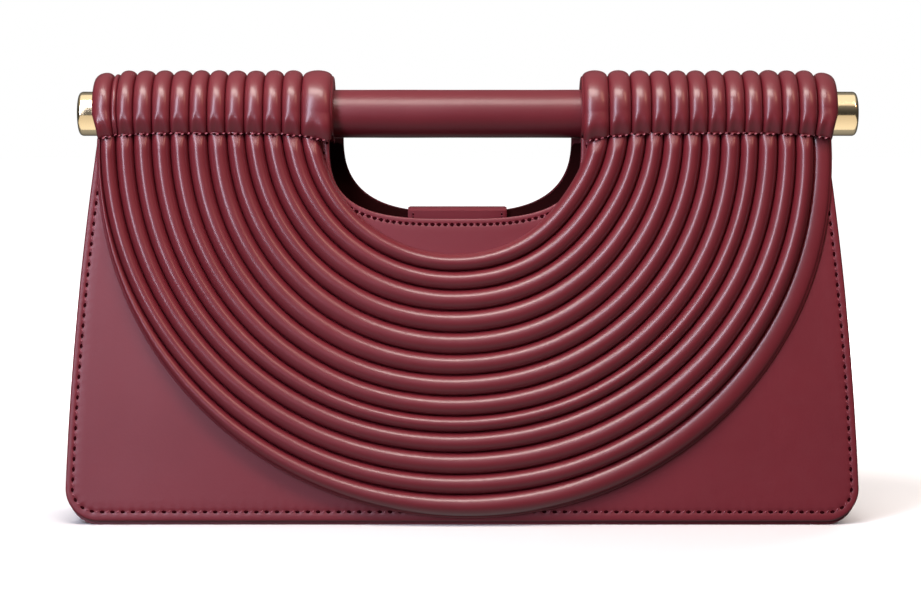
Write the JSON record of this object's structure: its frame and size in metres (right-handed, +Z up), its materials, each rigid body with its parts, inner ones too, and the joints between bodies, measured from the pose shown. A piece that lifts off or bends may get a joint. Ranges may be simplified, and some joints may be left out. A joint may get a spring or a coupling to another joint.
{
  "type": "handbag",
  "caption": "Stiff trapezoid leather handbag with a padded bar handle, metal end caps and nested padded ribs on the front.",
  "frame": {"origin": "centre of the base, on the surface that the bag stands on", "axes": "+Z up, front of the bag facing -Y, +X to the right seen from the front"},
  "size_m": [0.3029, 0.0558, 0.1726],
  "materials": {
    "panel_leather": "smooth satin",
    "padded_leather": "smooth satin sheen",
    "bar_leather": "smooth satin",
    "lining": "matt",
    "gold_brass": "polished, gold plated"
  },
  "bodies": {
    "root": {"back_lining": "lining", "back_panel": "panel_leather", "closing_tab": "panel_leather", "end_cap_left": "gold_brass", "end_cap_right": "gold_brass", "front_lining": "lining", "front_panel": "panel_leather", "gusset": "panel_leather", "handle_bar": "bar_leather", "rib_01": "padded_leather", "rib_02": "padded_leather", "rib_03": "padded_leather", "rib_04": "padded_leather", "rib_05": "padded_leather", "rib_06": "padded_leather", "rib_07": "padded_leather", "rib_08": "padded_leather", "rib_09": "padded_leather", "rib_10": "padded_leather", "rib_11": "padded_leather", "rib_12": "padded_leather", "rib_13": "padded_leather", "rib_backing": "panel_leather", "sleeve_left": "padded_leather", "sleeve_right": "padded_leather"}
  },
  "joints": []
}
